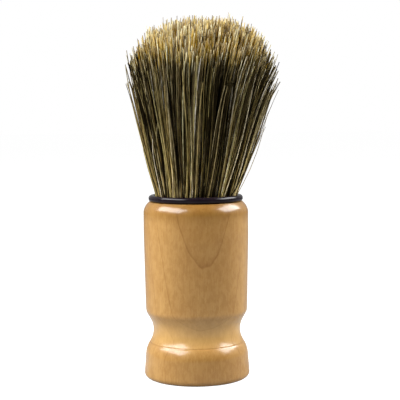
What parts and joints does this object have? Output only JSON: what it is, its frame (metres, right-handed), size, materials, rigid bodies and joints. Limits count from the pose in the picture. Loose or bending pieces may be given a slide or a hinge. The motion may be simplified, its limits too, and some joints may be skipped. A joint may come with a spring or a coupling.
{
  "type": "shaving brush",
  "caption": "Shaving brush: a turned wooden handle with a waist, a black collar ring and a fan-shaped knot of stiff bristles with a domed tip, used to work up lather.",
  "frame": {"origin": "centre of the flat face under the handle, which the brush stands on", "axes": "+Z along the brush's own axis, up from the foot of the handle to the tips of the bristles; X and Y are equal"},
  "size_m": [0.048, 0.048, 0.1149],
  "materials": {
    "lacquered_wood": "gloss",
    "black_plastic": "gloss",
    "adhesive": "satin",
    "resin": "satin",
    "thread": "matte",
    "bristle": "satin"
  },
  "bodies": {
    "handle": {"wood_handle": "lacquered_wood", "collar_ferrule": "black_plastic", "ferrule_adhesive": "adhesive", "potting_resin": "resin", "binding_thread": "thread", "bristle_root": "bristle"},
    "tuft_lower": {"bristle_band_lower": "bristle"},
    "tuft_upper": {"bristle_band_upper": "bristle"}
  },
  "joints": [
    {"name": "tuft_bend_back_and_forth", "type": "hinge", "parent": "handle", "child": "tuft_lower", "pos_m": [0, 0, 0.064], "axis": [1, 0, 0], "range_deg": [-15, 15], "stiffness_Nm_per_rad": 0.35},
    {"name": "tuft_bend_side_to_side", "type": "hinge", "parent": "tuft_lower", "child": "tuft_upper", "pos_m": [0, 0, 0.08], "axis": [0, 1, 0], "range_deg": [-20, 20], "stiffness_Nm_per_rad": 0.22}
  ]
}
